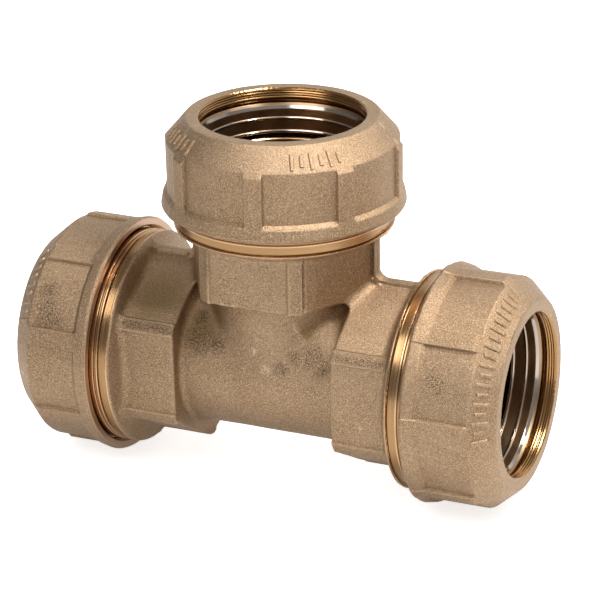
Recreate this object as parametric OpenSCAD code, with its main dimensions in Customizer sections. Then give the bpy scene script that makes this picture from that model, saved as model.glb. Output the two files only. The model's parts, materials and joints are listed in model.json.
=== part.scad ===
// Equal tee for plastic pipe: push the pipe in, then tighten the nut.
// Three identical ports lie along -X, +X and +Z. The origin is where their axes cross.
// Each port is written along its own +Z, outwards from the origin, and then turned into place.

/* [Pipe] */
// Outside diameter of the plastic pipe that each port takes
pipe_d = 50; // [49:0.1:50.6]
// Radial room between the pipe and the body's socket
socket_play = 0.3; // [0.2:0.05:0.4]
// Radius of the waterway through the body
water_r = 20; // [16:0.5:21]

/* [Body] */
// Outside radius of the plain tube between the wrench sections
tube_r = 23.2; // [22.5:0.1:25]
// Distance across the flats of the hexagonal wrench sections
hex_af = 55; // [54:0.1:57]
// Radius of the ribs that stay at the hexagon's corners
hex_corner_r = 30.8; // [30.5:0.1:32]
// Angle that one flat of the hexagon takes up between two ribs
hex_flat_angle = 53; // [50:0.5:55]
// Distance from the centre to the inner end of a hexagon
hex_start = 26.2; // [25:0.2:28]
// Distance from the centre to the outer end of a hexagon
hex_end = 45.8; // [44:0.2:46.2]
// Radius of the machined collar beside the nut
collar_r = 34; // [33:0.1:34.2]
// Distance from the centre to the outer end of the collar
collar_end = 53.6; // [53:0.1:54]
// Distance from the centre to the pipe stop at the bottom of the socket
pipe_stop = 31; // [29:0.5:36]
// Distance from the centre to the end of the threaded spigot
spigot_end = 63.6; // [62.5:0.1:63.6]

/* [Thread] */
// Radius of the spigot's threaded length, over the middle of the thread
thread_r = 31.3; // [31:0.1:31.5]
// Radial running room between the two threads
thread_play = 0.2; // [0.1:0.05:0.3]

/* [Nut] */
// Distance from the centre to the nut's open mouth
nut_mouth = 80; // [79.5:0.1:82]
// Distance from the centre to the nut's end beside the body
nut_end = 51.9; // [51.6:0.1:52.8]
// Radius of the nut's round body, which stays as ribs between its wrench pads
nut_r = 36.7; // [36.5:0.1:37.5]
// Radius of the flared band at the nut's body end
band_r = 37.6; // [37.4:0.1:38.5]
// Radius of the flat lip around the mouth
lip_r = 29.6; // [29:0.1:31]
// Radius of the shallow pads that a wrench grips between the ribs
pad_r = 35.6; // [35.2:0.1:36]
// Number of wrench pads
pad_count = 8; // [6:1:10]
// Angle that one wrench pad takes up
pad_angle = 36; // [28:1:38]

/* [Clamping ring] */
// Distance from the centre to the ring's outer end
ring_outer = 74.8; // [74:0.1:75]
// Distance from the centre to the ring's inner end
ring_inner = 64.8; // [64.8:0.1:65.2]
// Width of the split that lets the ring close on the pipe
ring_split = 5; // [3:0.5:8]
// How far the two gripping ridges stand in from the ring's bore
ridge_h = 0.3; // [0.2:0.05:0.3]

/* [Seal] */
// Diameter of the O-ring's cord
cord_d = 3.4; // [3.2:0.05:3.4]
// Thickness of the thrust washer that presses on the O-ring
washer_t = 2.6; // [2:0.1:2.6]

/* [Hidden] */

// Radii that follow the pipe
pipe_r = pipe_d / 2;
socket_r = pipe_r + socket_play;
mouth_r = pipe_r + 0.42;
ring_bore_r = pipe_r + 0.42;
cord_r = cord_d / 2;

// The seal chamber in the end of the spigot
washer_in = spigot_end - 0.1 - washer_t;
cord_z = washer_in - 0.15 - cord_r;
cord_centre_r = pipe_r + 0.15 + cord_r;
chamber_start = cord_z - cord_r - 0.1;
chamber_r = cord_centre_r + cord_r + 0.2;

// The cone inside the nut, and the ring's cone a little inside it
cone_play = 0.12;
cone_in_z = 67;
cone_out_z = nut_mouth - 3.4;
cone_in_r = 30.7;
cone_out_r = mouth_r + 1;
cone_slope = (cone_in_r - cone_out_r) / (cone_out_z - cone_in_z);

// The branch is cut a touch smaller than the run, as a separate core makes it
branch_step = 0.4;

// Angles of the nuts' wrench pads, as each nut came to rest
RIGHT = 0;
LEFT = 1;
BRANCH = 2;
nut_turn = [-68.3, -51.7, -58];
split_turn = [-114, 100, -65];

$fn = 96;

function cone_r(z) = cone_in_r - (z - cone_in_z) * cone_slope;

// Turns something drawn along +Z into the given port
module at_port(port) {
    turn = port == RIGHT ? 90 : port == LEFT ? -90 : 0;
    rotate([0, turn, 0]) children();
}

// A plain cylinder between two heights
module rod(r, z0, z1) {
    translate([0, 0, z0]) cylinder(r = r, h = z1 - z0);
}

// ---------- Body ----------

// Wrench section: a hexagon with flats to the front and back, and a low rib along each corner
module hex_section() {
    across = hex_af / 2;
    width = 2 * across * tan(hex_flat_angle / 2);
    difference() {
        rod(hex_corner_r, hex_start, hex_end);
        for (i = [0 : 5])
            rotate([0, 0, 30 + i * 60])
                translate([across, -width / 2, hex_start - 1])
                    cube([across, width, hex_end - hex_start + 2]);
    }
}

// Machined collar, with the shallow groove that shows beside the nut
module collar() {
    groove_z = hex_end + 1.3;
    groove_w = 2.1;
    groove_h = 0.8;
    rotate_extrude()
        polygon([
            [0, hex_end - 1],
            [hex_af / 2, hex_end - 1],
            [hex_af / 2 + 1, hex_end],
            [collar_r - 0.6, hex_end],
            [collar_r, hex_end + 0.6],
            [collar_r, groove_z],
            [collar_r - groove_h, groove_z + 0.3],
            [collar_r - groove_h, groove_z + groove_w],
            [collar_r, groove_z + groove_w + 0.3],
            [collar_r, collar_end - 0.4],
            [collar_r - 0.4, collar_end],
            [0, collar_end]
        ]);
}

// Spigot that carries the nut's thread, with a relief at its root and a lead at its end
module spigot() {
    relief = 1.1;
    lead = 1;
    rotate_extrude()
        polygon([
            [0, collar_end - 1],
            [thread_r - relief, collar_end - 1],
            [thread_r - relief, collar_end + 1.2],
            [thread_r, collar_end + 2.2],
            [thread_r, spigot_end - lead],
            [thread_r - lead, spigot_end],
            [0, spigot_end]
        ]);
}

// What the three ports remove: seal chamber, pipe socket and waterway
module port_bores(step) {
    rod(water_r - step, -1, pipe_stop + 1);
    rod(socket_r, pipe_stop, spigot_end + 1);
    rod(chamber_r, chamber_start, spigot_end + 1);
}

module tee_body() {
    color("#ab8e71")
        difference() {
            union() {
                at_port(RIGHT) rod(tube_r, -hex_start - 2, hex_start + 2);
                rod(tube_r - branch_step, 0, hex_start + 2);
                for (port = [RIGHT, LEFT, BRANCH]) {
                    at_port(port) hex_section();
                    at_port(port) collar();
                    at_port(port) spigot();
                }
            }
            at_port(RIGHT) port_bores(0);
            at_port(LEFT) port_bores(0);
            port_bores(branch_step);
        }
}

// ---------- Nut ----------

// Section of the nut: cone and lip outside; counterbore, thread, cone seat and mouth inside
module nut_section() {
    edge = 0.8;
    lip_round = 0.5;
    counter_r = collar_r + 0.5;
    female_r = thread_r + thread_play;
    polygon([
        // outside, from the body end to the mouth
        [band_r - edge, nut_end],
        [band_r, nut_end + edge],
        [nut_r, nut_end + 5.4],
        [nut_r, nut_mouth - 8.5],
        [nut_r - 0.6, nut_mouth - 7.85],
        [lip_r + lip_round, nut_mouth - lip_round],
        [lip_r, nut_mouth],
        // inside, from the mouth to the body end
        [mouth_r + 0.3, nut_mouth],
        [mouth_r, nut_mouth - 0.3],
        [mouth_r, cone_out_z],
        [cone_out_r, cone_out_z],
        [cone_in_r, cone_in_z],
        [cone_in_r, cone_in_z - 0.9],
        [female_r, cone_in_z - 1.7],
        [female_r, collar_end + 3],
        [female_r + 0.8, collar_end + 2.2],
        [counter_r, collar_end + 2.2],
        [counter_r, nut_end + 0.6],
        [counter_r + 0.6, nut_end]
    ]);
}

// One wrench pad: takes off everything beyond the pad's radius,
// with an inner end that slopes out to the band
module pad_cut() {
    depth = 4;
    low = nut_end + 5.3;
    slope = 0.8;
    rotate([0, 0, -pad_angle / 2])
        rotate_extrude(angle = pad_angle)
            polygon([
                [pad_r, low],
                [pad_r + depth, low - slope * depth],
                [pad_r + depth, nut_mouth],
                [pad_r, nut_mouth]
            ]);
}

module nut(port) {
    color("#b7997a")
        at_port(port)
            difference() {
                rotate_extrude() nut_section();
                for (i = [0 : pad_count - 1])
                    rotate([0, 0, nut_turn[port] + i * 360 / pad_count]) pad_cut();
            }
}

module right_nut() nut(RIGHT);
module left_nut() nut(LEFT);
module branch_nut() nut(BRANCH);

// ---------- Clamping ring ----------

// Section of the ring: the nut's cone outside, two gripping ridges and a bright bevel inside
module ring_section() {
    land_r = ring_bore_r;
    ridge_r = land_r - ridge_h;
    bevel = 1.7;
    low_ridge = ring_inner + 0.4;
    high_ridge = ring_inner + 4.7;
    polygon([
        [cone_r(ring_inner + 2.8) - cone_play, ring_inner],
        [cone_r(ring_inner + 2.8) - cone_play, ring_inner + 2.8],
        [cone_r(ring_outer) - cone_play, ring_outer],
        [land_r + 1, ring_outer],
        [land_r, ring_outer - bevel],
        [land_r, high_ridge + 1],
        [ridge_r, high_ridge + 0.6],
        [ridge_r, high_ridge + 0.3],
        [land_r, high_ridge],
        [land_r, low_ridge + 1],
        [ridge_r, low_ridge + 0.6],
        [ridge_r, low_ridge + 0.3],
        [land_r + 0.4, ring_inner]
    ]);
}

module clamp_ring(port) {
    gap = ring_split / pipe_r * 180 / PI;
    color("silver")
        at_port(port)
            rotate([0, 0, split_turn[port] + gap / 2])
                rotate_extrude(angle = 360 - gap) ring_section();
}

module right_clamp_ring() clamp_ring(RIGHT);
module left_clamp_ring() clamp_ring(LEFT);
module branch_clamp_ring() clamp_ring(BRANCH);

// ---------- Seal ----------

module thrust_washer(port) {
    bevel = 0.4;
    inner = ring_bore_r;
    outer = chamber_r - 0.2;
    color("#b5893f")
        at_port(port)
            rotate_extrude()
                polygon([
                    [inner, washer_in + bevel],
                    [inner + bevel, washer_in],
                    [outer, washer_in],
                    [outer, washer_in + washer_t],
                    [inner + bevel, washer_in + washer_t],
                    [inner, washer_in + washer_t - bevel]
                ]);
}

module right_thrust_washer() thrust_washer(RIGHT);
module left_thrust_washer() thrust_washer(LEFT);
module branch_thrust_washer() thrust_washer(BRANCH);

module o_ring(port) {
    color("#1c1c1e")
        at_port(port)
            rotate_extrude()
                translate([cord_centre_r, cord_z]) circle(r = cord_r);
}

module right_o_ring() o_ring(RIGHT);
module left_o_ring() o_ring(LEFT);
module branch_o_ring() o_ring(BRANCH);

tee_body();
right_nut();
left_nut();
branch_nut();
right_clamp_ring();
left_clamp_ring();
branch_clamp_ring();
right_thrust_washer();
left_thrust_washer();
branch_thrust_washer();
right_o_ring();
left_o_ring();
branch_o_ring();
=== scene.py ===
"""Equal tee for plastic pipe: the looks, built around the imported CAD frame.

Shapes are worked out in millimetres, along a port's own +Z, and turned into place by at_port().
"""
import json
import math

import bpy
import numpy as np
from mathutils import Matrix, Vector


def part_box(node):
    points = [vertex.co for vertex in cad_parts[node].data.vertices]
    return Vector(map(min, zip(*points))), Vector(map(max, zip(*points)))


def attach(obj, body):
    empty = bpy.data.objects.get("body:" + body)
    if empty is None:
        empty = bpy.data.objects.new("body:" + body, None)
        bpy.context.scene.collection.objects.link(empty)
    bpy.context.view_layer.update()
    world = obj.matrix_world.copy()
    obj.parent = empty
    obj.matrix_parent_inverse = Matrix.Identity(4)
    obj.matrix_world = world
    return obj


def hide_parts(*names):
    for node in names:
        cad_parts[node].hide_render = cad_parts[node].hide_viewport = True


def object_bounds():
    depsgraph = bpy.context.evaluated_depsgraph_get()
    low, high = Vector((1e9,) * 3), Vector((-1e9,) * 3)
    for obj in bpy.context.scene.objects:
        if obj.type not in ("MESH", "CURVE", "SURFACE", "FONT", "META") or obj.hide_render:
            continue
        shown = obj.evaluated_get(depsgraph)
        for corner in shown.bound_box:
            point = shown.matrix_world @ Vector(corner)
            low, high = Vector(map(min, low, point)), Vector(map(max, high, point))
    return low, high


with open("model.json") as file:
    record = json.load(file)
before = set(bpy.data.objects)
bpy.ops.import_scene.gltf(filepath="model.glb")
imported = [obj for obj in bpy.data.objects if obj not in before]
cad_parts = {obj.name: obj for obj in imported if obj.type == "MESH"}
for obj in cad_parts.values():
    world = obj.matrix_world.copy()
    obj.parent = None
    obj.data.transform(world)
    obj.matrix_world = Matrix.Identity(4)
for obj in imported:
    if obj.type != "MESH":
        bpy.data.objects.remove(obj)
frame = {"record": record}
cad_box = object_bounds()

MM = 0.001
PORTS = ("right", "left", "branch")

# ---------- Sizes, in millimetres ----------


def along_and_out(node):
    """Where a node of the right port starts and ends along its axis, and its outer radius."""
    low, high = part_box(node)
    return low.x / MM, high.x / MM, high.y / MM


NUT_END, NUT_MOUTH, BAND_R = along_and_out("right_nut")
RING_IN, RING_OUT, RING_R = along_and_out("right_clamp_ring")
WASHER_IN, WASHER_OUT, WASHER_R = along_and_out("right_thrust_washer")
SEAL_IN, SEAL_OUT, SEAL_R = along_and_out("right_o_ring")
_, SPIGOT_END, COLLAR_R = along_and_out("tee_body")
MOUNT = {m["name"]: m for m in frame["record"]["mounts"]}
SOCKET_R = MOUNT["right_pipe_socket"]["dims"]["r_mm"]
WATER_R = MOUNT["run_waterway"]["dims"]["r_mm"]
PIPE_STOP = MOUNT["run_waterway"]["dims"]["length_mm"] / 2
CORD_R = (SEAL_OUT - SEAL_IN) / 2

# Body: the branch's tube and waterway are smaller in radius than the run's by BRANCH_STEP
TUBE_R = 23.2
BRANCH_STEP = 0.4
HEX_APOTHEM = 27.5
HEX_RIB_R = 30.8
HEX_START = 26.2
HEX_END = 45.8

# Nuts: radius over the ribs and over the recessed pads, the angle at which each nut's pads stand,
# and how far the band is stepped in beside a pad
NUT_R = 36.7
PAD_R = 35.6
PAD_COUNT = 8
PAD_DEG = 36
SECTOR_DEG = 360 / PAD_COUNT
LIP_R = 29.6
MOUTH_R = SOCKET_R + 0.12
NUT_TURN = {"right": -68.3, "left": -51.7, "branch": -58}
BAND_STEP = {"right": 0.3, "left": 0.0, "branch": 0.0}

# The cone seat inside a nut runs from SEAT_OUT in to SEAT_IN, where its radius is SEAT_R
SEAT_R = 30.7
SEAT_IN = 67.0
SEAT_OUT = NUT_MOUTH - 3.4

# Clamping rings: where each is split, in degrees, and how wide
SPLIT_TURN = {"right": -114, "left": 100, "branch": -65}
SPLIT_MM = 5

# Threads: mean radius of the spigot's thread, and where the nut's thread and counterbore lie
PITCH = 3.0
THREAD_R = 31.3
THREAD_PLAY = 0.2
THREAD_H = 1.5
NUT_THREAD_R = THREAD_R + THREAD_PLAY + THREAD_H / 2
NUT_THREAD_IN = 57.4
NUT_THREAD_OUT = 65.5
COUNTERBORE_OUT = 55.8

# ---------- Helpers for meshes ----------


def at_port(points, port):
    """Turns points drawn along +Z into a port's place."""
    x, y, z = points[:, 0], points[:, 1], points[:, 2]
    if port == "right":
        return np.stack([z, y, -x], 1)
    if port == "left":
        return np.stack([-z, y, x], 1)
    return points


def smooth_step(t):
    """Rises from 0 to 1 with level ends."""
    t = np.clip(t, 0, 1)
    return t * t * (3 - 2 * t)


def soft_min(a, b, k):
    """The smaller of a and b, with the crease between them rounded over about k."""
    h = np.clip(0.5 + 0.5 * (b - a) / k, 0, 1)
    return b + (a - b) * h - k * h * (1 - h)


def soft_max(a, b, k):
    """The larger of a and b, with the crease between them rounded over about k."""
    return -soft_min(-a, -b, k)


def outline(corners):
    """A closed outline as dense points.

    Each corner is (r, z, rounding radius, step between points on the side after it)."""
    out = []
    n = len(corners)
    for i, (r, z, radius, step) in enumerate(corners):
        here = np.array([r, z])
        before = np.array(corners[i - 1][:2])
        after = np.array(corners[(i + 1) % n][:2])
        u = (before - here) / np.linalg.norm(before - here)
        v = (after - here) / np.linalg.norm(after - here)
        if radius > 0:
            half = math.acos(np.clip(u @ v, -1, 1)) / 2
            cut = radius / math.tan(half)
            middle = here + (u + v) / np.linalg.norm(u + v) * radius / math.sin(half)
            a, b = here + u * cut - middle, here + v * cut - middle
            turn = math.pi - 2 * half
            count = max(2, int(turn / math.radians(22)) + 1)
            for t in np.linspace(0, 1, count + 1):
                way = (a * math.sin((1 - t) * turn) + b * math.sin(t * turn)) / math.sin(turn)
                out.append(middle + way)
            start = here + v * cut
        else:
            out.append(here)
            start = here
        next_radius = corners[(i + 1) % n][2]
        stop = after
        if next_radius > 0:
            beyond = np.array(corners[(i + 2) % n][:2])
            w = (beyond - after) / np.linalg.norm(beyond - after)
            stop = after - v * next_radius / math.tan(math.acos(np.clip(-v @ w, -1, 1)) / 2)
        length = np.linalg.norm(stop - start)
        count = max(1, int(round(length / step)))
        for t in range(1, count):
            out.append(start + (stop - start) * t / count)
    return np.array(out)


def add_mesh(name, verts, quads, extra=()):
    """A mesh object from points in millimetres, four-cornered faces and a few extra faces."""
    mesh = bpy.data.meshes.new(name)
    faces = [tuple(q) for q in quads.tolist()] + [tuple(f) for f in extra]
    mesh.from_pydata((verts * MM).tolist(), [], faces)
    mesh.update()
    obj = bpy.data.objects.new(name, mesh)
    bpy.context.scene.collection.objects.link(obj)
    return obj


def shade(obj, degrees=32):
    """Smooth shading, with an edge kept sharp where faces meet at more than this many degrees."""
    mesh = obj.data
    mesh.polygons.foreach_set("use_smooth", np.ones(len(mesh.polygons), bool))
    mesh.set_sharp_from_angle(angle=math.radians(degrees))


def revolve(name, loop, angles, port, radius=None):
    """Turns a closed outline about the port's axis. radius(angle, r, z) may change each point's r.

    A full turn closes on itself; a part turn gets an end face at each side."""
    full = abs(angles[-1] - angles[0]) > 2 * math.pi - 1e-6
    if full:
        angles = angles[:-1]
    a, r = np.meshgrid(angles, loop[:, 0], indexing="ij")
    z = np.broadcast_to(loop[:, 1], a.shape).copy()
    if radius is not None:
        r = radius(a, r, z)
    verts = np.stack([r * np.cos(a), r * np.sin(a), z], -1).reshape(-1, 3)
    na, nl = a.shape
    i = np.arange(na if full else na - 1)[:, None]
    j = np.arange(nl)[None, :]
    i2, j2 = (i + 1) % na, (j + 1) % nl
    quads = np.stack([i * nl + j, i2 * nl + j, i2 * nl + j2, i * nl + j2], -1).reshape(-1, 4)
    extra = []
    if not full:
        extra = [list(range(nl))[::-1], [(na - 1) * nl + k for k in range(nl)]]
    obj = add_mesh(name, at_port(verts, port), quads, extra)
    point_outwards(obj)
    return obj


def point_outwards(obj):
    """Flips every face if the mesh encloses a negative volume."""
    mesh = obj.data
    mesh.calc_loop_triangles()
    tri = np.zeros(len(mesh.loop_triangles) * 3, np.int64)
    mesh.loop_triangles.foreach_get("vertices", tri)
    co = np.zeros(len(mesh.vertices) * 3)
    mesh.vertices.foreach_get("co", co)
    p = co.reshape(-1, 3)[tri.reshape(-1, 3)]
    volume = np.einsum("ij,ij->", p[:, 0], np.cross(p[:, 1], p[:, 2])) / 6
    if volume < 0:
        mesh.flip_normals()


def turns(count):
    """Angles for one full turn in equal steps."""
    return np.linspace(0, 2 * math.pi, count + 1)


def thread_wave(angle, z, play=0.0):
    """Height of a rounded right-hand thread, from 0 at the root to 1 at the crest."""
    phase = (z / PITCH - angle / (2 * math.pi)) % 1.0
    climb = np.abs(phase - 0.5) * 2
    return smooth_step(np.clip((climb - 0.16 - play) / 0.62, 0, 1))


def wobble(a, b, c, size):
    """Slow, smooth unevenness of a hot-stamped surface."""
    return size * (
        np.sin(a * 0.31 + 1.3 * np.sin(b * 0.17 + 0.5))
        + np.sin(b * 0.37 + 1.1 * np.sin(c * 0.23 + 1.9))
        + np.sin(c * 0.29 + 1.2 * np.sin(a * 0.21 + 3.1))
    ) / 3


# ---------- Tee body ----------


def hexagon_field(across, up, z, groove_depth):
    """Signed distance, roughly, to one leg's wrench section. across and up span the leg's cross-section.

    The front and back flats slope into the ribs; the side flats dip and have a groove beside them."""
    rho = np.hypot(across, up)
    turn = np.degrees(np.arctan2(up, across))
    from_normal = (turn % 60) - 30
    normal = turn - from_normal
    is_side = np.abs(np.cos(np.radians(normal))) > 0.1
    side = rho * np.abs(np.sin(np.radians(from_normal)))
    dip = np.where(is_side, 0.5, 0.2) * smooth_step((side - 8.0) / 4.5)
    groove = np.where(is_side, groove_depth, 0.0) * np.exp(-(((side - 13.1) / 0.65) ** 2))
    edge = np.where(is_side, 13.5, 12.6)
    to_flat = rho * np.cos(np.radians(from_normal)) - HEX_APOTHEM + dip + groove
    to_flat = to_flat - 3 * np.clip((side - edge) / np.where(is_side, 0.7, 2.5), 0, 1)
    inside = soft_max(to_flat, rho - HEX_RIB_R - 0.15, 0.5)
    slab = np.abs(z - (HEX_START + HEX_END) / 2) - (HEX_END - HEX_START) / 2
    return soft_max(inside, slab, 1.0)


def flange_field(across, up, z):
    """Signed distance to the forged back of one leg's collar, a steep cone that runs down to the flats."""
    start, end, slope = HEX_END - 3.6, HEX_END + 1, 2.6
    rim = np.hypot(across, up) - COLLAR_R + 0.1
    cone = (rim + slope * (HEX_END - z)) / math.hypot(slope, 1)
    slab = np.abs(z - (start + end) / 2) - (end - start) / 2
    return soft_max(soft_max(rim, cone, 0.4), slab, 0.4)


def forging_field(x, y, z):
    """Signed distance, roughly, to the hot-stamped part of the body."""
    run = soft_max(np.hypot(y, z) - TUBE_R, np.abs(x) - HEX_END - 0.5, 0.3)
    branch = soft_max(np.hypot(x, y) - TUBE_R + BRANCH_STEP, np.abs(z - 23) - 24, 0.3)
    tubes = soft_min(run, branch, 2.2)
    hexes = hexagon_field(x, y, z, 1.1)
    flanges = flange_field(x, y, z)
    for side in (1, -1):
        hexes = soft_min(hexes, hexagon_field(z, y, x * side, 0.2), 3.2)
        flanges = np.minimum(flanges, flange_field(z, y, x * side))
    corner = np.exp(-((np.abs(x) - 23) ** 2 + (z - 22) ** 2) / 30)
    body = soft_min(tubes, hexes, 2.2 + 3.5 * corner)
    body = soft_min(body, flanges, 2.0)
    seam = 0.16 * np.exp(-((y / 0.9) ** 2))
    return body - seam + wobble(x, y, z, 0.07)


def surface_net(field, low, high, step):
    """Quads around the zero level of a field, on a regular grid, then moved onto the level."""
    axes = [np.arange(a, b + step, step) for a, b in zip(low, high)]
    v = field(*np.meshgrid(*axes, indexing="ij"))
    shape = np.array(v.shape) - 1
    total = np.zeros(tuple(shape) + (3,), np.float32)
    hits = np.zeros(tuple(shape), np.float32)
    edges = []
    for axis in range(3):
        first = [slice(None)] * 3
        second = [slice(None)] * 3
        first[axis], second[axis] = slice(0, -1), slice(1, None)
        a, b = v[tuple(first)], v[tuple(second)]
        cross = (a < 0) != (b < 0)
        t = np.where(cross, a / np.where(cross, a - b, 1), 0)
        others = [k for k in range(3) if k != axis]
        for d1 in (0, 1):
            for d2 in (0, 1):
                take = [slice(None)] * 3
                take[others[0]] = slice(d1, v.shape[others[0]] - 1 + d1)
                take[others[1]] = slice(d2, v.shape[others[1]] - 1 + d2)
                c, tt = cross[tuple(take)], t[tuple(take)]
                hits += c
                total[..., axis] += tt * c
                total[..., others[0]] += d1 * c
                total[..., others[1]] += d2 * c
        edges.append((axis, others, cross, a < 0))
    live = hits > 0
    index = np.full(tuple(shape), -1, np.int64)
    index[live] = np.arange(live.sum())
    cell = np.argwhere(live)
    verts = (cell + total[live] / hits[live][:, None]) * step + np.array(low)
    quads = []
    for axis, others, cross, inside in edges:
        spot = np.argwhere(cross)
        ok = (spot[:, others[0]] > 0) & (spot[:, others[1]] > 0)
        ok &= (spot[:, others[0]] < shape[others[0]]) & (spot[:, others[1]] < shape[others[1]])
        spot = spot[ok]
        corner = []
        for d1, d2 in ((1, 1), (0, 1), (0, 0), (1, 0)):
            at = spot.copy()
            at[:, others[0]] -= d1
            at[:, others[1]] -= d2
            corner.append(index[tuple(at.T)])
        quad = np.stack(corner, 1)
        flip = inside[tuple(spot.T)] != (axis == 1)
        quad[flip] = quad[flip][:, ::-1]
        quads.append(quad)
    quads = np.concatenate(quads)
    for _ in range(3):
        f = field(*verts.T)
        h = 0.02
        rises = [field(*(verts + h * way).T) - field(*(verts - h * way).T) for way in np.eye(3)]
        slope = np.stack(rises, 1) / (2 * h)
        move = -slope * (f / np.maximum((slope ** 2).sum(1), 0.25))[:, None]
        size = np.linalg.norm(move, axis=1, keepdims=True)
        verts = verts + move * np.minimum(1, 0.3 * step / np.maximum(size, 1e-9))
    return verts, quads


def machined_end(port):
    """Collar and threaded spigot of one port, as a closed solid."""
    root = THREAD_R - THREAD_H / 2
    root_start = 54.9
    floor = COLLAR_R - 0.95
    relief = THREAD_R - 1.1
    loop = outline([
        # inside the forging, and the back of the collar
        (16, HEX_END - 1.5, 0, 4),
        (25.5, HEX_END - 1.5, 0, 4),
        (25.5, HEX_END + 0.35, 0, 1),
        (COLLAR_R - 0.2, HEX_END + 0.35, 0.05, 0.4),
        (COLLAR_R, HEX_END + 0.5, 0.08, 0.35),
        (COLLAR_R, 46.5, 0.08, 0.3),
        # wide groove
        (COLLAR_R - 0.45, 46.75, 0.06, 0.3),
        (floor, 46.95, 0.15, 0.35),
        (floor, 49.2, 0.15, 0.3),
        # lands, with a narrow groove between them
        (COLLAR_R - 0.1, 49.5, 0.08, 0.3),
        (COLLAR_R - 0.1, 50.0, 0.08, 0.3),
        (COLLAR_R - 0.6, 50.25, 0.06, 0.3),
        (COLLAR_R - 0.6, 50.75, 0.06, 0.3),
        (COLLAR_R - 0.1, 51.0, 0.08, 0.3),
        (COLLAR_R - 0.1, 53.3, 0.15, 0.4),
        (COLLAR_R - 0.5, 53.6, 0.1, 0.6),
        # relief behind the thread, the thread's root and the spigot's end
        (relief, 53.6, 0.4, 0.4),
        (relief, 54.6, 0.4, 0.4),
        (root, root_start, 0, 0.25),
        (root, SPIGOT_END - 0.9, 0, 0.25),
        (root - 0.9, SPIGOT_END, 0.1, 1),
        (16, SPIGOT_END, 0, 4),
    ])

    def radius(a, r, z):
        on_root = (np.abs(r - root) < 1e-6) & (z > root_start - 0.1)
        fade = smooth_step((z - root_start - 0.9) / 1.2) * smooth_step((SPIGOT_END - 0.5 - z) / 0.9)
        return np.where(on_root, r + THREAD_H * thread_wave(a, z) * fade, r)

    return revolve("machined_" + port, loop, turns(288), port, radius)


def bore_tool(name, port, start, water):
    """What a port's boring cuts away: waterway, pipe socket and seal chamber."""
    chamber_r = SEAL_R + 0.2
    chamber = SEAL_IN - 0.1
    loop = outline([
        (0.001, start, 0, 8),
        (water, start, 0, 8),
        (water, PIPE_STOP - 0.3, 0, 1),
        (water + 0.3, PIPE_STOP, 0, 2),
        (SOCKET_R, PIPE_STOP, 0.2, 6),
        (SOCKET_R, chamber - 0.25, 0, 1),
        (SOCKET_R + 0.25, chamber, 0, 1),
        (chamber_r, chamber, 0.35, 1),
        (chamber_r, SPIGOT_END - 0.5, 0, 1),
        (chamber_r + 0.8, SPIGOT_END + 0.3, 0, 1),
        (chamber_r + 0.8, SPIGOT_END + 2, 0, 8),
        (0.001, SPIGOT_END + 2, 0, 8),
    ])
    return revolve(name, loop, turns(192), port)


def combine(target, others, operation):
    """Applies Boolean modifiers to target, one for each other solid, and removes the others."""
    for other in others:
        modifier = target.modifiers.new(other.name, "BOOLEAN")
        modifier.operation = operation
        modifier.object = other
        modifier.solver = "MANIFOLD"
    bpy.context.view_layer.update()
    graph = bpy.context.evaluated_depsgraph_get()
    result = bpy.data.meshes.new_from_object(target.evaluated_get(graph))
    target.modifiers.clear()
    old = target.data
    target.data = result
    bpy.data.meshes.remove(old)
    for other in others:
        bpy.data.objects.remove(other)


def make_body():
    """The forging as a mesh, joined to its three machined ends and bored."""
    step = 0.5
    margin = 2
    low = (-HEX_END - margin, -COLLAR_R - margin, -COLLAR_R - margin)
    high = (HEX_END + margin, COLLAR_R + margin, HEX_END + margin)
    verts, quads = surface_net(forging_field, low, high, step)
    body = add_mesh("tee_body_forging", verts, quads)
    point_outwards(body)
    combine(body, [machined_end(p) for p in PORTS], "UNION")
    cutters = [
        bore_tool("bore_right", "right", -1.0, WATER_R),
        bore_tool("bore_left", "left", -1.0, WATER_R),
        bore_tool("bore_branch", "branch", -0.5, WATER_R - BRANCH_STEP),
    ]
    combine(body, cutters, "DIFFERENCE")
    mark_spots(body, "pits", BODY_PITS_AND_SHADE)
    mark_spots(body, "scars", BODY_SCARS)
    mark_spots(body, "painted_shade", BODY_PAINTED_SHADE)
    shade(body)
    return body


# Spots on the surface, as (x, y, z, radius) in millimetres: where the blasting has left dark pits. The
# first seven, in the creases between the legs, are partly painted shade.
BODY_PITS_AND_SHADE = [
    (17.7, -20.8, 10.3, 5.5), (20.5, -21.8, 8.1, 4.0), (12.5, -20.5, 9.5, 3.5), (8.1, -22.4, 5.9, 3.0),
    (-20.2, -20.3, 11.3, 6.0), (-14.5, -20.7, 10.4, 3.5), (-21.4, -16.5, 16.3, 3.0),
]
BODY_PITS_AND_SHADE += [(x, -27.2, 14.8, 1.6) for x in np.arange(28, 44, 1.6)]
BODY_PITS_AND_SHADE += [(-x, -26.8, 15.4, 1.7) for x in np.arange(28, 44, 1.6)]
BODY_PITS_AND_SHADE += [(-13.8, -27.4, z, 1.3) for z in np.arange(36, 45, 1.5)]
NUT_PITS = {
    "right": [(62.6, -33.1, 13.1, 3.8), (60.5, -32.5, 15.5, 2.5)],
    "left": [
        (-67.6, -30.6, 18.2, 4.5), (-67.9, -32.4, 14.7, 4.5), (-64.5, -32.0, 15.0, 3.5),
        (-68.5, -27.8, 22.2, 4.0),
    ],
    "branch": [],
}

# Where the body has light scars
BODY_SCARS = [
    (12.1, -19.3, 18.5, 1.3), (12.9, -19.0, 16.4, 1.2), (13.6, -18.8, 14.6, 1.1), (11.6, -19.6, 20.4, 1.0),
    (-1.1, -22.8, 10.7, 1.6), (3.0, -22.9, 5.6, 2.0),
]

# Painted shade, browner than the skin: high on the left leg, and in the corners between the legs
BODY_PAINTED_SHADE = [(-36, -18, 23, 11), (-20, -20, 16, 9), (-22, -10, 26, 8), (15, -19, 18, 4)]


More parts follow.
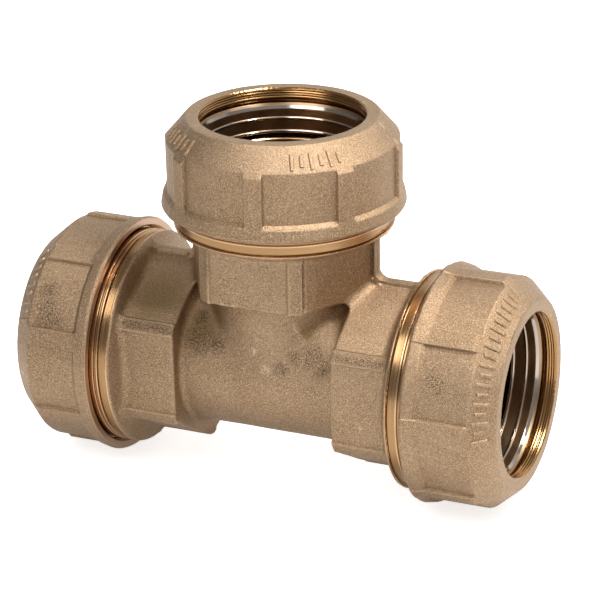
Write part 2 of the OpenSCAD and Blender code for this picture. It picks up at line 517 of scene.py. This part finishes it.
def mark_spots(obj, layer_name, spots):
    """Writes how near each point of a mesh is to a list of spots, from 0 to 1, for its material to read."""
    mesh = obj.data
    co = np.zeros(len(mesh.vertices) * 3)
    mesh.vertices.foreach_get("co", co)
    co = co.reshape(-1, 3) / MM
    amount = np.zeros(len(co))
    for x, y, z, radius in spots:
        far = np.linalg.norm(co - np.array([x, y, z]), axis=1) / radius
        amount = np.maximum(amount, smooth_step(1.25 - far))
    layer = mesh.attributes.new(layer_name, "FLOAT", "POINT")
    layer.data.foreach_set("value", amount)


# ---------- Nuts ----------

# Raised marks on the nuts' cones: rows of plain bars, each row (first angle, last angle, bars)
MARK_SPANS = {
    "right": [(-179, -84, 19)],
    "left": [(-70, -25, 9)],
    "branch": [(-64, -34, 6), (-155, -120, 7)],
}


def nut_angles(port):
    """Angles round a nut, closer together at the steps between its pads and ribs, and at raised marks."""
    half = PAD_DEG / 2
    coarse = np.arange(-SECTOR_DEG / 2, SECTOR_DEG / 2, 0.75)
    fine = np.concatenate([np.arange(s * half - 0.9, s * half + 0.91, 0.22) for s in (-1, 1)])
    near = np.abs(np.abs(coarse) - half) < 1.0
    offsets = np.unique(np.round(np.concatenate([coarse[~near], fine]), 4))
    sectors = np.arange(PAD_COUNT)[:, None] * SECTOR_DEG
    everywhere = (NUT_TURN[port] + sectors + offsets[None, :]).ravel() % 360
    marks = np.concatenate([np.arange(first, last, 0.25) for first, last, _ in MARK_SPANS[port]]) % 360
    alone = np.array([np.min(np.abs(marks - v)) > 0.2 for v in everywhere])
    every = np.unique(np.round(np.concatenate([everywhere[alone], marks]), 4))
    return np.radians(np.append(every, every[0] + 360))


def nut_outline():
    """A nut's outline before its pads, thread, grooves and marks."""
    return outline([
        # end face beside the body, and the band
        (COLLAR_R + 1.1, NUT_END, 0.05, 0.6),
        (BAND_R - 0.55, NUT_END, 0.25, 0.4),
        (BAND_R, NUT_END + 0.9, 0.7, 0.45),
        (NUT_R, NUT_END + 5.4, 2.5, 0.3),
        # ribs, cone and lip
        (NUT_R, NUT_MOUTH - 8.15, 0.7, 0.3),
        (LIP_R, NUT_MOUTH, 1.1, 0.5),
        # mouth with its fine turned grooves
        (MOUTH_R + 0.35, NUT_MOUTH, 0.1, 0.2),
        (MOUTH_R, NUT_MOUTH - 0.35, 0.05, 0.14),
        (MOUTH_R, SEAT_OUT, 0.05, 0.3),
        # cone seat
        (MOUTH_R + 1.0, SEAT_OUT - 0.15, 0.1, 0.6),
        (SEAT_R, SEAT_IN, 0.2, 0.5),
        (SEAT_R, SEAT_IN - 0.9, 0, 0.4),
        # thread
        (NUT_THREAD_R, NUT_THREAD_OUT, 0, 0.25),
        (NUT_THREAD_R, NUT_THREAD_IN, 0, 0.3),
        # relief, and the counterbore that clears the collar
        (NUT_THREAD_R + 0.5, NUT_THREAD_IN - 0.5, 0, 0.4),
        (NUT_THREAD_R + 0.5, COUNTERBORE_OUT, 0.2, 0.5),
        (COLLAR_R + 0.5, COUNTERBORE_OUT, 0.2, 0.6),
        (COLLAR_R + 0.5, NUT_END + 0.6, 0.05, 0.3),
    ])


def nut_radius(port):
    """How a nut departs from a plain turned shape: wrench pads, thread, grooves and raised marks."""
    pad_start = NUT_END + 5.3
    pad_slope = 0.8
    half = PAD_DEG / 2

    def radius(a, r, z):
        degrees = np.degrees(a) - NUT_TURN[port]
        from_middle = (degrees + SECTOR_DEG / 2) % SECTOR_DEG - SECTOR_DEG / 2
        outer = r > COLLAR_R + 0.2
        outer |= (z > NUT_MOUTH - 8) & (r > MOUTH_R + 0.5)
        outer &= ~((z < COUNTERBORE_OUT + 0.7) & (r < COLLAR_R + 0.7))
        pad = PAD_R + np.maximum(0, pad_start - z) / pad_slope
        panel = smooth_step((half + 0.35 - np.abs(from_middle)) / 0.7)
        cut = soft_min(r, pad, 0.25)
        in_band = (z < pad_start - 0.5) & (r > COLLAR_R + 2)
        step = BAND_STEP[port] * panel * in_band
        worn = wobble(np.cos(a) * 30, np.sin(a) * 30, z, 0.06)
        shaped = r - panel * (r - cut) - step + worn + raised_marks(port, degrees, z)
        out = np.where(outer, shaped, r)
        start, end = NUT_THREAD_IN - 0.1, NUT_THREAD_OUT
        is_thread = (np.abs(r - NUT_THREAD_R) < 1e-6) & (z < end + 0.1) & (z > start)
        fade = smooth_step(z - start) * smooth_step(end - z)
        out = np.where(is_thread, r - THREAD_H * (1 - thread_wave(a, z, -0.02)) * fade, out)
        in_mouth = (np.abs(r - MOUTH_R) < 1e-6) & (z > SEAT_OUT + 0.2)
        groove = 0.2 * (0.5 - 0.5 * np.cos((NUT_MOUTH - z) * 2 * math.pi / 0.78))
        out = np.where(in_mouth, out + groove, out)
        at_edge = (r > MOUTH_R + 0.15) & (r < MOUTH_R + 0.6) & (z > NUT_MOUTH - 0.5)
        chatter = 0.1 * np.sin(a * 97 + 1.5 * np.sin(a * 31)) * np.sin(a * 41 + 0.7)
        return np.where(at_edge, out + chatter, out)

    return radius


def raised_marks(port, degrees, z):
    """Height of the plain raised bars on the cone. Every second bar is shorter."""
    turn = degrees + NUT_TURN[port]
    cone_r = 33
    middle = NUT_MOUTH - 3.9
    half_lengths = (2.1, 1.5)
    half_width = 0.66
    top = 0.65
    height = np.zeros_like(z)
    for first, last, count in MARK_SPANS[port]:
        pitch = (last - first) / count
        for i in range(count):
            off = (turn - first - (i + 0.5) * pitch + 180) % 360 - 180
            beside = np.abs(np.radians(off) * cone_r)
            side = smooth_step((half_width - beside) / 0.3)
            end = smooth_step((half_lengths[i % 2] - np.abs(z - middle)) / 0.35)
            height = np.maximum(height, top * side * end)
    return height


def make_nut(port):
    nut = revolve(port + "_union_nut", nut_outline(), nut_angles(port), port, nut_radius(port))
    mark_spots(nut, "pits", NUT_PITS[port])
    shade(nut)
    return nut


# ---------- Clamping rings, washers and seals ----------


def ring_outline():
    """A clamping ring's section: a cone that meets the nut's seat, and two ridges that grip the pipe."""
    land = MOUTH_R
    grip = MOUTH_R - 0.3
    seat_slope = (SEAT_R - MOUTH_R - 1) / (SEAT_OUT - SEAT_IN)
    tip = SEAT_R - (RING_OUT - SEAT_IN) * seat_slope - 0.12
    low, high = RING_IN + 0.4, RING_IN + 4.7
    return outline([
        (land + 0.4, RING_IN, 0.05, 0.6),
        (RING_R, RING_IN, 0.2, 0.7),
        (RING_R, RING_IN + 2.8, 0.3, 0.7),
        (tip, RING_OUT, 0.15, 0.4),
        (land + 1.0, RING_OUT, 0.1, 0.3),
        (land, RING_OUT - 1.7, 0.12, 0.4),
        (land, high + 1.05, 0.1, 0.12),
        (grip, high + 0.65, 0.08, 0.12),
        (grip, high + 0.35, 0.08, 0.12),
        (land, high, 0.1, 0.4),
        (land, low + 1.05, 0.1, 0.12),
        (grip, low + 0.65, 0.08, 0.12),
        (grip, low + 0.3, 0.08, 0.2),
    ])


def make_clamp_ring(port):
    gap = SPLIT_MM / SOCKET_R
    middle = math.radians(SPLIT_TURN[port])
    angles = np.linspace(middle + gap / 2, middle + 2 * math.pi - gap / 2, 257)
    ring = revolve(port + "_split_ring", ring_outline(), angles, port)
    shade(ring)
    return ring


def make_washer(port):
    chamfer = 0.4
    loop = outline([
        (MOUTH_R, WASHER_IN + chamfer, 0.08, 0.5),
        (MOUTH_R + chamfer, WASHER_IN, 0.08, 0.7),
        (WASHER_R, WASHER_IN, 0.25, 0.7),
        (WASHER_R, WASHER_OUT, 0.25, 0.7),
        (MOUTH_R + chamfer, WASHER_OUT, 0.08, 0.5),
        (MOUTH_R, WASHER_OUT - chamfer, 0.08, 0.5),
    ])
    washer = revolve(port + "_washer", loop, turns(192), port)
    shade(washer)
    return washer


def make_seal(port):
    """O-ring with the thin moulding seam on its inner and outer sides."""
    t = np.linspace(0, 2 * math.pi, 49)[:-1]
    seam = 0.04 * np.exp(-(np.sin(t) / 0.12) ** 2)
    r = CORD_R - 0.03 + seam
    centre_r = SEAL_R - CORD_R
    centre_z = (SEAL_IN + SEAL_OUT) / 2
    loop = np.stack([centre_r + r * np.cos(t), centre_z + r * np.sin(t)], 1)
    seal = revolve(port + "_seal", loop, turns(160), port)
    shade(seal, 60)
    return seal


# ---------- Materials ----------


class Nodes:
    """A short way to write a node material: add() makes a node, link() joins two sockets."""

    def __init__(self, name):
        self.material = bpy.data.materials.new(name)
        self.material.use_nodes = True
        self.tree = self.material.node_tree
        self.tree.nodes.clear()
        self.out = self.tree.nodes.new("ShaderNodeOutputMaterial")
        self.shader = self.add("ShaderNodeBsdfPrincipled")
        self.link(self.shader.outputs[0], self.out.inputs[0])
        self.place = self.add("ShaderNodeTexCoord").outputs["Object"]

    def add(self, kind, **values):
        node = self.tree.nodes.new(kind)
        for key, value in values.items():
            if key in node.inputs:
                node.inputs[key].default_value = value
            else:
                setattr(node, key, value)
        return node

    def link(self, a, b):
        self.tree.links.new(a, b)

    def noise(self, scale, detail=3.0, rough=0.6, place=None):
        node = self.add("ShaderNodeTexNoise", Scale=scale, Detail=detail, Roughness=rough)
        self.link(place or self.place, node.inputs["Vector"])
        return node.outputs["Fac"]

    def math(self, operation, *values):
        node = self.add("ShaderNodeMath", operation=operation)
        for i, v in enumerate(values):
            if isinstance(v, (int, float)):
                node.inputs[i].default_value = v
            else:
                self.link(v, node.inputs[i])
        return node.outputs[0]

    def ramp(self, value, low, high, to_low=0.0, to_high=1.0):
        node = self.add("ShaderNodeMapRange", interpolation_type="SMOOTHSTEP")
        self.link(value, node.inputs["Value"])
        for key, v in zip(("From Min", "From Max", "To Min", "To Max"), (low, high, to_low, to_high)):
            node.inputs[key].default_value = v
        return node.outputs["Result"]

    def mix(self, amount, a, b):
        node = self.add("ShaderNodeMix", data_type="RGBA")
        for socket, v in ((node.inputs[0], amount), (node.inputs[6], a), (node.inputs[7], b)):
            if isinstance(v, (int, float)):
                socket.default_value = v
            elif isinstance(v, tuple):
                socket.default_value = v + (1.0,)
            else:
                self.link(v, socket)
        return node.outputs[2]

    def bump(self, height, strength, distance):
        node = self.add("ShaderNodeBump", Strength=strength, Distance=distance)
        self.link(height, node.inputs["Height"])
        return node.outputs["Normal"]

    def mark(self, name):
        """One of the layers that mark_spots() writes."""
        return self.add("ShaderNodeAttribute", attribute_name=name).outputs["Fac"]

    def set(self, key, value):
        if isinstance(value, (int, float)):
            self.shader.inputs[key].default_value = value
        elif isinstance(value, tuple):
            self.shader.inputs[key].default_value = value + (1.0,)
        else:
            self.link(value, self.shader.inputs[key])


def port_mask(n):
    """Sockets with how far out along its port a point is, and its distance from that port's axis."""
    split = n.add("ShaderNodeSeparateXYZ")
    n.link(n.place, split.inputs[0])
    x, y, z = split.outputs
    out_x = n.math("ABSOLUTE", x)
    run = n.math("GREATER_THAN", out_x, z)
    yy = n.math("MULTIPLY", y, y)
    from_x = n.math("SQRT", n.math("ADD", yy, n.math("MULTIPLY", z, z)))
    from_z = n.math("SQRT", n.math("ADD", yy, n.math("MULTIPLY", x, x)))
    along = n.math("MAXIMUM", out_x, z)
    stay = n.math("SUBTRACT", 1.0, run)
    from_axis = n.math("ADD", n.math("MULTIPLY", run, from_x), n.math("MULTIPLY", stay, from_z))
    return along, from_axis


def across_turning(n, along, from_axis):
    """Texture coordinates that change along the axis and out from it, but not round it."""
    place = n.add("ShaderNodeCombineXYZ")
    n.link(along, place.inputs[0])
    n.link(from_axis, place.inputs[1])
    return place.outputs[0]


def below(n, value, limit):
    """1 where a value is below a limit, else 0."""
    return n.math("LESS_THAN", value, limit)


# Colours of the blasted skin, and of the brass where it has been turned; some are painted shade in corners,
# creases, grooves and inside, and one a painted highlight on edges
SKIN_DARK = (0.36, 0.23, 0.132)
SKIN_LIGHT = (0.445, 0.298, 0.184)
SKIN_SPARK = (0.64, 0.47, 0.30)
SKIN_HOLLOW = (0.13, 0.08, 0.04)
SKIN_PAINTED_SHADE = (0.21, 0.135, 0.045)
SKIN_CREASE_SHADE = (0.12, 0.075, 0.035)
SKIN_EDGE_HIGHLIGHT = (0.70, 0.52, 0.34)
SKIN_PORE = (0.05, 0.035, 0.02)
SKIN_SCAR = (0.78, 0.57, 0.40)
TURNED_DARK = (0.54, 0.35, 0.20)
TURNED_LIGHT = (0.66, 0.45, 0.28)
TURNED_GROOVE_SHADE = (0.40, 0.24, 0.11)
TURNED_INNER_SHADE = (0.42, 0.21, 0.07)
TURNED_FACE = (0.56, 0.37, 0.26)

# In metres: a nut's turned end face lies below NUT_FACE_END and outside NUT_FACE_R
NUT_FACE_END = (NUT_END + 0.15) * MM
NUT_FACE_R = (COLLAR_R + 0.9) * MM


def body_machined(n, along, from_axis):
    """1 where the body has been machined: collars, spigots, sockets and waterways."""
    beyond = n.math("GREATER_THAN", along, (HEX_END + 0.34) * MM)
    deep = n.math("GREATER_THAN", along, (PIPE_STOP - 0.5) * MM)
    socket = n.math("MULTIPLY", deep, below(n, from_axis, (SOCKET_R + 0.4) * MM))
    water = below(n, from_axis, (WATER_R + 0.5) * MM)
    return n.math("MAXIMUM", beyond, n.math("MAXIMUM", socket, water))


def nut_machined(n, along, from_axis):
    """1 where a nut has been machined: its end face and everything inside."""
    end_face = below(n, along, NUT_FACE_END)
    # a cone just outside the seat, and a straight bore behind it
    slope = 0.446
    cone = n.math("MULTIPLY_ADD", along, -slope, (SEAT_R + 0.6 + SEAT_IN * slope) * MM)
    cone = n.math("MAXIMUM", n.math("MINIMUM", cone, NUT_FACE_R), (MOUTH_R + 0.42) * MM)
    bore = n.math("MULTIPLY", below(n, along, (NUT_THREAD_OUT - 0.5) * MM), below(n, from_axis, NUT_FACE_R))
    inside = n.math("LESS_THAN", from_axis, cone)
    return n.math("MAXIMUM", end_face, n.math("MAXIMUM", inside, bore))


def brass(name, machined_where):
    """Sand-blasted hot-stamped brass, turned bright where it has been machined."""
    n = Nodes(name)
    along, from_axis = port_mask(n)
    machined = machined_where(n, along, from_axis)
    # colour of the blasted skin: fine grain, slow drift, dark pores and light scars, with painted shade in
    # creases and corners and painted highlights on edges
    grain = n.noise(4200, 2.0, 0.7)
    speck = n.noise(2300, 3.0, 0.75)
    drift = n.noise(45, 4.0, 0.6)
    pores = n.math("MULTIPLY", n.mark("pits"), n.ramp(n.noise(2400, 2.0, 0.7), 0.47, 0.6))
    scars = n.math("MULTIPLY", n.mark("scars"), n.ramp(n.noise(2300, 2.0, 0.6), 0.38, 0.52))
    painted_shade = n.math("MULTIPLY", n.mark("painted_shade"), n.ramp(drift, 0.3, 0.6, 0.7, 1.0))
    bend = n.add("ShaderNodeNewGeometry").outputs["Pointiness"]
    skin = n.mix(n.ramp(drift, 0.3, 0.7), SKIN_DARK, SKIN_LIGHT)
    skin = n.mix(n.ramp(speck, 0.47, 0.62), skin, SKIN_SPARK)
    skin = n.mix(n.ramp(grain, 0.34, 0.52, 0.9, 0.0), skin, SKIN_HOLLOW)
    # painted shade, darker and browner, high on the left leg and in the corners between the legs
    skin = n.mix(n.math("MULTIPLY", painted_shade, 0.55), skin, SKIN_PAINTED_SHADE)
    # painted shade in the concave creases, found from the mesh's pointiness
    skin = n.mix(n.ramp(bend, 0.43, 0.485, 0.4, 0.0), skin, SKIN_CREASE_SHADE)
    # painted highlight along the convex edges, found from the mesh's pointiness
    skin = n.mix(n.ramp(bend, 0.51, 0.57, 0.0, 0.5), skin, SKIN_EDGE_HIGHLIGHT)
    # dark pores; in the creases between the legs they are partly painted shade
    skin = n.mix(n.math("MULTIPLY", pores, 0.7), skin, SKIN_PORE)
    skin = n.mix(n.math("MULTIPLY", scars, 0.75), skin, SKIN_SCAR)
    turned = n.mix(n.ramp(n.noise(60, 2.0, 0.5), 0.3, 0.7), TURNED_DARK, TURNED_LIGHT)
    # painted shade: turned brass below the collar's lands, in the grooves and the nut's shadow, is darker
    turned = n.mix(below(n, from_axis, (COLLAR_R - 0.3) * MM), turned, TURNED_GROOVE_SHADE)
    # painted shade: the threads and the turned surfaces further inside are darker and browner, unevenly
    threads = below(n, from_axis, (COLLAR_R - 2.4) * MM)
    inner_shade = n.math("MULTIPLY", threads, n.ramp(drift, 0.25, 0.75, 0.35, 0.6))
    turned = n.mix(inner_shade, turned, TURNED_INNER_SHADE)
    faced = below(n, along, NUT_FACE_END)
    faced = n.math("MULTIPLY", faced, n.math("GREATER_THAN", from_axis, NUT_FACE_R))
    turned = n.mix(faced, turned, TURNED_FACE)
    n.set("Base Color", n.mix(machined, skin, turned))
    n.set("Metallic", 1.0)
    # turned rings: fine waves along the axis and out from it
    turning = across_turning(n, along, from_axis)
    rings = n.noise(5200, 2.0, 0.6, turning)
    broad = n.noise(900, 1.0, 0.5, turning)
    rough_skin = n.ramp(speck, 0.3, 0.7, 0.38, 0.52)
    rough_turned = n.math("ADD", n.ramp(broad, 0.3, 0.7, 0.16, 0.27), n.math("MULTIPLY", faced, 0.15))
    blend = n.add("ShaderNodeMix", data_type="FLOAT")
    n.link(machined, blend.inputs[0])
    n.link(rough_skin, blend.inputs[2])
    n.link(rough_turned, blend.inputs[3])
    n.set("Roughness", blend.outputs[0])
    fine = n.math("ADD", n.math("MULTIPLY", grain, 0.5), n.math("MULTIPLY", speck, 0.9))
    fine = n.math("SUBTRACT", fine, pores)
    fine = n.math("ADD", fine, n.math("MULTIPLY", scars, 0.8))
    fine = n.math("MULTIPLY", fine, n.math("SUBTRACT", 1.0, machined))
    lines = n.math("MULTIPLY", n.math("ADD", rings, n.math("MULTIPLY", broad, 0.7)), machined)
    height = n.math("ADD", fine, n.math("MULTIPLY", lines, 0.12))
    n.set("Normal", n.bump(height, 0.8, 0.00028))
    return n.material


def nickel(name):
    """Bright nickel plate over turned brass."""
    n = Nodes(name)
    along, from_axis = port_mask(n)
    rings = n.noise(4200, 2.0, 0.6, across_turning(n, along, from_axis))
    plate = n.mix(n.ramp(n.noise(70, 2.0), 0.3, 0.7), (0.40, 0.36, 0.31), (0.50, 0.45, 0.40))
    # painted reflection of the brass around the ring: brown on the lands beside the ridges, and on the
    # outer part of the bevel
    bevel_start = (RING_OUT - 1.65) * MM
    land = n.math("COMPARE", from_axis, MOUTH_R * MM, 0.12 * MM)
    land = n.math("MULTIPLY", below(n, along, bevel_start), land)
    bevel = n.math("COMPARE", from_axis, (MOUTH_R + 0.8) * MM, 0.27 * MM)
    bevel = n.math("MULTIPLY", n.math("GREATER_THAN", along, bevel_start), bevel)
    brass_reflection = n.math("MAXIMUM", land, bevel)
    # painted reflection: brown where the ring mirrors the brass inside the nut
    n.set("Base Color", n.mix(brass_reflection, plate, (0.40, 0.26, 0.15)))
    n.set("Metallic", 1.0)
    smooth = n.ramp(n.noise(300, 2.0), 0.3, 0.7, 0.06, 0.14)
    n.set("Roughness", n.math("ADD", smooth, n.math("MULTIPLY", brass_reflection, 0.22)))
    n.set("Normal", n.bump(rings, 0.12, 0.00008))
    return n.material


def turned_brass(name):
    """Bright turned brass, for the washers."""
    n = Nodes(name)
    along, from_axis = port_mask(n)
    rings = n.noise(3600, 2.0, 0.6, across_turning(n, along, from_axis))
    drift = n.ramp(n.noise(80, 2.0), 0.3, 0.7)
    n.set("Base Color", n.mix(drift, (0.60, 0.38, 0.18), (0.70, 0.46, 0.24)))
    n.set("Metallic", 1.0)
    n.set("Roughness", n.ramp(rings, 0.3, 0.7, 0.18, 0.3))
    n.set("Normal", n.bump(rings, 0.3, 0.0001))
    return n.material


def rubber(name):
    """Black rubber, for the O-rings."""
    n = Nodes(name)
    fine = n.noise(1800, 2.0, 0.6)
    drift = n.ramp(n.noise(120, 3.0), 0.35, 0.65)
    n.set("Base Color", n.mix(drift, (0.016, 0.016, 0.017), (0.03, 0.03, 0.031)))
    n.set("Roughness", n.ramp(fine, 0.3, 0.7, 0.42, 0.6))
    n.set("Normal", n.bump(fine, 0.2, 0.0001))
    return n.material


# ---------- Stage ----------

# The camera: its direction and roll in degrees, distance and shift in metres, and lens in millimetres
CAM_AZIMUTH = 24.20
CAM_ELEVATION = 22.33
CAM_ROLL = -1.13
CAM_DISTANCE = 0.867
CAM_RIGHT = 0.0025
CAM_UP = 0.01904
CAM_LENS = 168.85


def make_camera():
    """A camera at the photograph's viewing angle."""
    a, e, roll = (math.radians(v) for v in (CAM_AZIMUTH, CAM_ELEVATION, CAM_ROLL))
    back = Vector((math.sin(a) * math.cos(e), -math.cos(a) * math.cos(e), math.sin(e)))
    level = Vector((math.cos(a), math.sin(a), 0))
    upright = back.cross(level)
    right = level * math.cos(roll) + upright * math.sin(roll)
    up = upright * math.cos(roll) - level * math.sin(roll)
    data = bpy.data.cameras.new("camera")
    data.lens = CAM_LENS
    data.clip_start, data.clip_end = 0.01, 20
    camera = bpy.data.objects.new("camera", data)
    bpy.context.scene.collection.objects.link(camera)
    place = back * CAM_DISTANCE + right * CAM_RIGHT + up * CAM_UP
    camera.matrix_world = Matrix((
        (right.x, up.x, back.x, place.x),
        (right.y, up.y, back.y, place.y),
        (right.z, up.z, back.z, place.z),
        (0, 0, 0, 1),
    ))
    bpy.context.scene.camera = camera


def area_light(name, place, size, power):
    """A soft white light that faces the object."""
    data = bpy.data.lights.new(name, "AREA")
    data.shape = "RECTANGLE"
    data.size, data.size_y = size
    data.energy = power
    light = bpy.data.objects.new(name, data)
    light.location = place
    light.rotation_mode = "QUATERNION"
    light.rotation_quaternion = (Vector(place) - Vector((0, 0, 0.02))).to_track_quat("Z", "Y")
    bpy.context.scene.collection.objects.link(light)


def make_world():
    """A grey studio: palest below the horizon, darkest a little above it, and dimmer up on the left."""
    world = bpy.data.worlds.new("studio")
    world.use_nodes = True
    tree = world.node_tree
    background = tree.nodes["Background"]
    place = tree.nodes.new("ShaderNodeTexCoord").outputs["Generated"]

    def ramp_along(direction, stops):
        """Greys along a direction, from 0 behind to 1 ahead. The lowest and the highest stop come first."""
        dot = tree.nodes.new("ShaderNodeVectorMath")
        dot.operation = "DOT_PRODUCT"
        dot.inputs[1].default_value = Vector(direction).normalized()
        shift = tree.nodes.new("ShaderNodeMath")
        shift.operation = "MULTIPLY_ADD"
        shift.inputs[1].default_value = 0.5
        shift.inputs[2].default_value = 0.5
        ramp = tree.nodes.new("ShaderNodeValToRGB")
        tree.links.new(place, dot.inputs[0])
        tree.links.new(dot.outputs["Value"], shift.inputs[0])
        tree.links.new(shift.outputs[0], ramp.inputs[0])
        ends = ramp.color_ramp.elements
        for i, (at, grey) in enumerate(stops):
            stop = ends[i] if i < 2 else ends.new(at)
            stop.position = at
            stop.color = (grey, grey, grey, 1)
        return ramp.outputs[0]

    greys = [(0.0, 0.65), (1.0, 0.5), (0.47, 0.65), (0.53, 0.45), (0.64, 0.33), (0.8, 0.42)]
    height = ramp_along((0, 0, 1), greys)
    shade_left = ramp_along((-0.8, 0.2, 0.6), [(0.4, 1.0), (1.0, 0.5), (0.7, 0.75)])
    mix = tree.nodes.new("ShaderNodeMix")
    mix.data_type = "RGBA"
    mix.blend_type = "MULTIPLY"
    mix.inputs[0].default_value = 1.0
    tree.links.new(height, mix.inputs[6])
    tree.links.new(shade_left, mix.inputs[7])
    tree.links.new(mix.outputs[2], background.inputs[0])
    background.inputs[1].default_value = 0.92
    bpy.context.scene.world = world


def make_floor():
    """A plain pale floor that curves up behind the object."""
    level = cad_box[0].z - 0.2 * MM
    front, back, rise, radius = -2.2, 0.9, 1.6, 0.5
    profile = [(front, level), (back - radius, level)]
    for t in np.linspace(0, math.pi / 2, 17)[1:]:
        profile.append((back - radius + radius * math.sin(t), level + radius - radius * math.cos(t)))
    profile.append((back, level + rise))
    xs = np.linspace(-2.5, 2.5, 3)
    verts = [(x, y, z) for x in xs for y, z in profile]
    row = len(profile)
    faces = []
    for first in (0, row):
        for j in range(first, first + row - 1):
            faces.append((j, j + row, j + row + 1, j + 1))
    mesh = bpy.data.meshes.new("floor")
    mesh.from_pydata(verts, [], faces)
    floor = bpy.data.objects.new("floor", mesh)
    bpy.context.scene.collection.objects.link(floor)
    mesh.polygons.foreach_set("use_smooth", np.ones(len(mesh.polygons), bool))
    # white to the camera, and dimmer where it is reflected in the brass
    n = Nodes("pale_floor")
    seen = n.add("ShaderNodeLightPath").outputs["Is Camera Ray"]
    n.set("Base Color", n.mix(seen, (0.7, 0.7, 0.7), (0.93, 0.93, 0.93)))
    n.set("Roughness", 0.8)
    n.set("Emission Color", (1.0, 1.0, 1.0))
    n.set("Emission Strength", n.ramp(seen, 0, 1, 0.2, 0.75))
    mesh.materials.append(n.material)


# ---------- Assembly ----------


def finish_piece(obj, material, body, node):
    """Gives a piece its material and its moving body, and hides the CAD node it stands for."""
    obj.data.materials.clear()
    obj.data.materials.append(material)
    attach(obj, body)
    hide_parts(node)


body_brass = brass("blasted_brass_body", body_machined)
nut_brass = brass("blasted_brass_nut", nut_machined)
nickel_plate = nickel("nickel_plate")
washer_brass = turned_brass("turned_brass")
seal_rubber = rubber("nitrile_rubber")

finish_piece(make_body(), body_brass, "tee", "tee_body")
for port in PORTS:
    carrier = port + "_ring_carrier"
    finish_piece(make_nut(port), nut_brass, port + "_nut_body", port + "_nut")
    finish_piece(make_clamp_ring(port), nickel_plate, carrier, port + "_clamp_ring")
    finish_piece(make_washer(port), washer_brass, "tee", port + "_thrust_washer")
    finish_piece(make_seal(port), seal_rubber, "tee", port + "_o_ring")

make_camera()
make_world()
make_floor()
area_light("key", (0.46, 0.0, 0.88), (0.34, 0.34), 12)
area_light("front", (-0.25, -0.85, 1.0), (0.9, 0.6), 6.5)
bpy.context.scene.view_settings.view_transform = "Standard"
